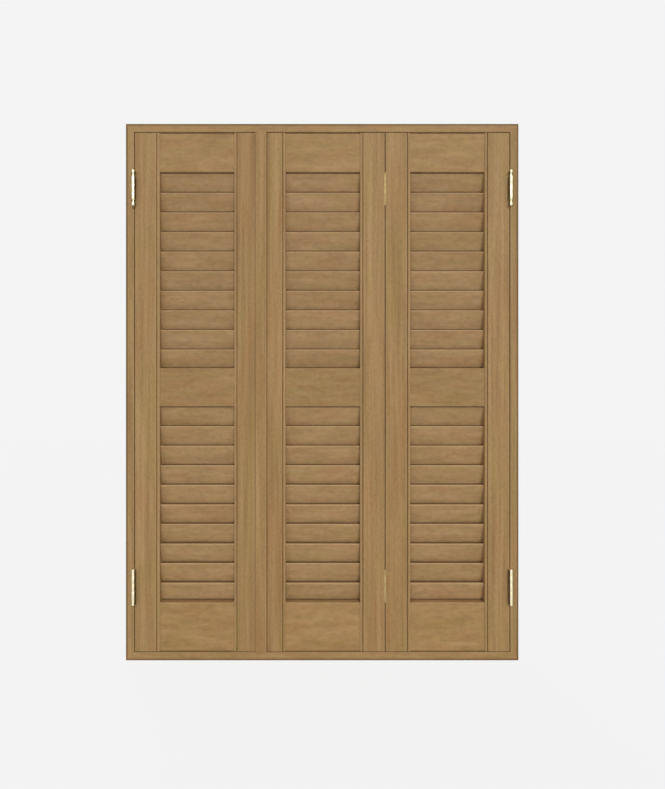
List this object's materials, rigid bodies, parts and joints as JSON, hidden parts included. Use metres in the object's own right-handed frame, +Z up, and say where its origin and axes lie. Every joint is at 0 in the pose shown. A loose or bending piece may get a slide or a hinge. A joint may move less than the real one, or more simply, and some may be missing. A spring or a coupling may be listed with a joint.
{
  "type": "window shutter",
  "caption": "Timber window shutter with fixed sloping louvres: a hinged leaf and a folding pair in a mitred, rebated frame, on brass hinges, the upper ones with turned tips.",
  "frame": {"origin": "middle of the sill's underside, halfway through the frame's depth", "axes": "+X to the right as seen from the front, -Y out of the front towards the opening leaves, +Z up"},
  "size_m": [1.2, 0.0768, 1.64],
  "materials": {
    "frame_jamb_wood": "stained, satin, grain upright",
    "frame_rail_wood": "stained, satin, grain level",
    "stile_wood": "stained, satin, grain upright",
    "rail_wood": "stained, satin, grain level",
    "slat_wood": "stained, satin, grain level",
    "strip_wood": "stained, satin, grain upright",
    "tenon_wood": "bare",
    "hinge_brass": "polished, pale",
    "fold_hinge_brass": "rolled, dull",
    "screw_brass": "satin"
  },
  "bodies": {
    "frame": {"corner_tenons": "tenon_wood", "frame_hinge_screws": "screw_brass", "head": "frame_rail_wood", "left_jamb": "frame_jamb_wood", "left_lower_hinge_cap": "hinge_brass", "left_lower_hinge_jamb_half": "hinge_brass", "left_lower_hinge_pin": "hinge_brass", "left_upper_hinge_cap": "hinge_brass", "left_upper_hinge_jamb_half": "hinge_brass", "left_upper_hinge_pin": "hinge_brass", "right_jamb": "frame_jamb_wood", "right_lower_hinge_cap": "hinge_brass", "right_lower_hinge_jamb_half": "hinge_brass", "right_lower_hinge_pin": "hinge_brass", "right_upper_hinge_cap": "hinge_brass", "right_upper_hinge_jamb_half": "hinge_brass", "right_upper_hinge_pin": "hinge_brass", "sill": "frame_rail_wood"},
    "left_leaf": {"left_leaf_bottom_rail": "rail_wood", "left_leaf_left_stile": "stile_wood", "left_leaf_lower_slats": "slat_wood", "left_leaf_middle_rail": "rail_wood", "left_leaf_right_stile": "stile_wood", "left_leaf_screws": "screw_brass", "left_leaf_top_rail": "rail_wood", "left_leaf_upper_slats": "slat_wood", "left_lower_hinge_leaf_half": "hinge_brass", "left_upper_hinge_leaf_half": "hinge_brass"},
    "right_leaf": {"fold_lower_hinge_pin": "fold_hinge_brass", "fold_lower_hinge_right_half": "fold_hinge_brass", "fold_upper_hinge_pin": "fold_hinge_brass", "fold_upper_hinge_right_half": "fold_hinge_brass", "right_leaf_bottom_rail": "rail_wood", "right_leaf_left_stile": "stile_wood", "right_leaf_lower_slats": "slat_wood", "right_leaf_middle_rail": "rail_wood", "right_leaf_right_stile": "stile_wood", "right_leaf_screws": "screw_brass", "right_leaf_top_rail": "rail_wood", "right_leaf_upper_slats": "slat_wood", "right_lower_hinge_leaf_half": "hinge_brass", "right_upper_hinge_leaf_half": "hinge_brass"},
    "middle_leaf": {"cover_strip": "strip_wood", "fold_lower_hinge_middle_half": "fold_hinge_brass", "fold_upper_hinge_middle_half": "fold_hinge_brass", "middle_leaf_bottom_rail": "rail_wood", "middle_leaf_left_stile": "stile_wood", "middle_leaf_lower_slats": "slat_wood", "middle_leaf_middle_rail": "rail_wood", "middle_leaf_right_stile": "stile_wood", "middle_leaf_screws": "screw_brass", "middle_leaf_top_rail": "rail_wood", "middle_leaf_upper_slats": "slat_wood"}
  },
  "joints": [
    {"name": "right_leaf_hinge", "type": "hinge", "parent": "frame", "child": "right_leaf", "pos_m": [0.57375, -0.0386, 0.82], "axis": [0, 0, 1], "range_deg": [0, 175]},
    {"name": "fold_hinge", "type": "hinge", "parent": "right_leaf", "child": "middle_leaf", "pos_m": [0.19233, 0.0184, 0.82], "axis": [0, 0, -1], "range_deg": [0, 175]},
    {"name": "left_leaf_hinge", "type": "hinge", "parent": "frame", "child": "left_leaf", "pos_m": [-0.57375, -0.0386, 0.82], "axis": [0, 0, -1], "range_deg": [0, 175]}
  ],
  "couplings": [
    {"joint": "fold_hinge", "follows": "right_leaf_hinge", "ratio": 1},
    {"joint": "left_leaf_hinge", "follows": "right_leaf_hinge", "ratio": 1}
  ]
}
